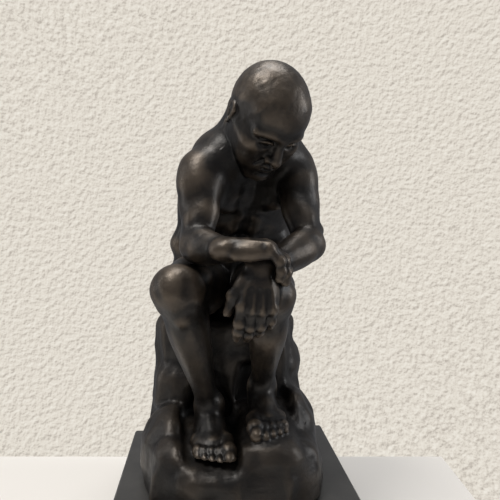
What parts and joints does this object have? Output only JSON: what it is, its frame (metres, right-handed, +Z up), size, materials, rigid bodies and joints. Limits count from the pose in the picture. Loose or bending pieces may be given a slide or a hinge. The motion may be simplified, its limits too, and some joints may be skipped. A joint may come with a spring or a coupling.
{
  "type": "seated thinker statue",
  "caption": "Desk ornament: a seated figure deep in thought on a rock, two bronze castings bolted to a square stone plinth that stands on felt.",
  "frame": {"origin": "centre of the underside of the felt, on the surface that the statue stands on", "axes": "+Z up, +X towards the figure's left, -Y the way the figure faces"},
  "size_m": [0.13, 0.13, 0.254],
  "materials": {
    "figure_bronze": "cast bronze with a dark brown patina, softly waxed",
    "rock_bronze": "rough modelled bronze with a dark brown patina",
    "plinth_stone": "honed black stone",
    "felt": "black felt",
    "steel": "zinc-plated steel"
  },
  "bodies": {
    "root": {"figure": "figure_bronze", "rock_seat": "rock_bronze", "plinth": "plinth_stone", "felt_pad": "felt", "seat_screws": "steel", "foot_dowels": "steel", "plinth_studs": "steel", "plinth_washers": "steel", "plinth_nuts": "steel"}
  },
  "joints": []
}
